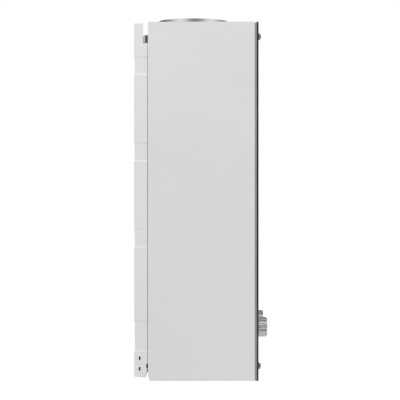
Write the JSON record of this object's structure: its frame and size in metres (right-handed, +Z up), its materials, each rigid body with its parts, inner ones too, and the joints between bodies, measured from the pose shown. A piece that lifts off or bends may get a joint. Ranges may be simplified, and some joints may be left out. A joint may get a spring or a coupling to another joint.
{
  "type": "tankless water heater",
  "caption": "Wall-hung gas instantaneous water heater with a dark glass front over a white sheet casing, fluted knobs, a flue collar on top and pipe fittings below.",
  "frame": {"origin": "middle of the four wall holes, on the wall plane, at half the casing's height", "axes": "+X to the right as seen from the front, +Y into the wall, the front faces -Y, +Z up"},
  "size_m": [0.331, 0.2065, 0.5722],
  "materials": {
    "white_enamel": "smooth satin white paint",
    "black_glass": "back-painted dark glass",
    "grey_panel": "matt grey paint",
    "chrome": "polished",
    "satin_metal": "satin turned and fluted",
    "bright_steel": "bright rolled sheet",
    "zinc_steel": "zinc-plated sheet",
    "stainless": "heat-dulled sheet",
    "copper": "plain copper, slightly dulled",
    "brass": "machined",
    "die_cast": "as cast",
    "dark_plastic": "fine texture",
    "grey_plastic": "fine texture",
    "green_board": "coated board",
    "ceramic": "glazed",
    "cell_wrap": "plain wrap",
    "lead_cover": "silicone cover",
    "seal_rubber": "plain"
  },
  "bodies": {
    "root": {"back_plate": "white_enamel", "backing_panel": "grey_panel", "battery_box": "dark_plastic", "battery_cells": "cell_wrap", "battery_contacts": "bright_steel", "battery_lead": "lead_cover", "burner_blades": "stainless", "burner_frame": "zinc_steel", "case_screws": "zinc_steel", "casing": "white_enamel", "casing_brackets": "zinc_steel", "casing_hooks": "zinc_steel", "chamber_brackets": "zinc_steel", "chamber_coil": "copper", "cold_inlet": "brass", "combustion_chamber": "copper", "controller": "grey_plastic", "cover_screws": "zinc_steel", "diaphragm": "seal_rubber", "diaphragm_cover": "brass", "display_board": "green_board", "display_housing": "dark_plastic", "draught_hood": "zinc_steel", "exchanger_bends": "copper", "flame_sensor": "ceramic", "flue_collar": "bright_steel", "gas_inlet": "brass", "gas_manifold": "zinc_steel", "gas_nozzles": "brass", "gas_pipe": "copper", "gas_solenoid": "zinc_steel", "gas_valve": "die_cast", "glass_panel": "black_glass", "glass_screws": "zinc_steel", "heat_exchanger": "copper", "hood_bracket": "zinc_steel", "hot_outlet": "brass", "hot_pipe": "copper", "ignition_electrode": "ceramic", "ignition_lead": "lead_cover", "microswitch": "dark_plastic", "overheat_thermostat": "bright_steel", "pipe_nuts": "brass", "screw_caps": "chrome", "sensor_lead": "lead_cover", "solenoid_lead": "lead_cover", "spill_sensor": "bright_steel", "switch_bracket": "zinc_steel", "valve_bracket": "zinc_steel", "water_valve": "brass"},
    "gas_knob_body": {"gas_knob": "satin_metal", "gas_spindle": "brass"},
    "water_knob_body": {"water_knob": "satin_metal", "water_spindle": "brass"},
    "battery_lid_body": {"battery_lid": "dark_plastic"},
    "push_rod_body": {"push_rod": "brass"},
    "lever_body": {"microswitch_lever": "bright_steel"},
    "drain_plug_body": {"drain_plug": "dark_plastic"}
  },
  "joints": [
    {"name": "gas_knob_turn", "type": "hinge", "parent": "root", "child": "gas_knob_body", "pos_m": [-0.09, -0.19, -0.1972], "axis": [0, -1, 0], "range_deg": [0, 150]},
    {"name": "water_knob_turn", "type": "hinge", "parent": "root", "child": "water_knob_body", "pos_m": [0.09, -0.19, -0.1972], "axis": [0, -1, 0], "range_deg": [0, 270]},
    {"name": "battery_lid_hinge", "type": "hinge", "parent": "root", "child": "battery_lid_body", "pos_m": [0, -0.1005, -0.2722], "axis": [1, 0, 0], "range_deg": [0, 95]},
    {"name": "push_rod_slide", "type": "slide", "parent": "root", "child": "push_rod_body", "axis": [-1, 0, 0], "range_m": [0, 0.003], "stiffness_N_per_m": 400, "springref_m": -0.003},
    {"name": "microswitch_lever_turn", "type": "hinge", "parent": "root", "child": "lever_body", "pos_m": [-0.017, -0.095, -0.181], "axis": [0, 1, 0], "range_deg": [0, 15.6]},
    {"name": "drain_plug_turn", "type": "hinge", "parent": "root", "child": "drain_plug_body", "pos_m": [0.104, -0.107, -0.25], "axis": [0, 0, -1], "range_deg": [0, 360]}
  ],
  "couplings": [
    {"joint": "microswitch_lever_turn", "follows": "push_rod_slide", "rad_per_m": 90.389}
  ]
}
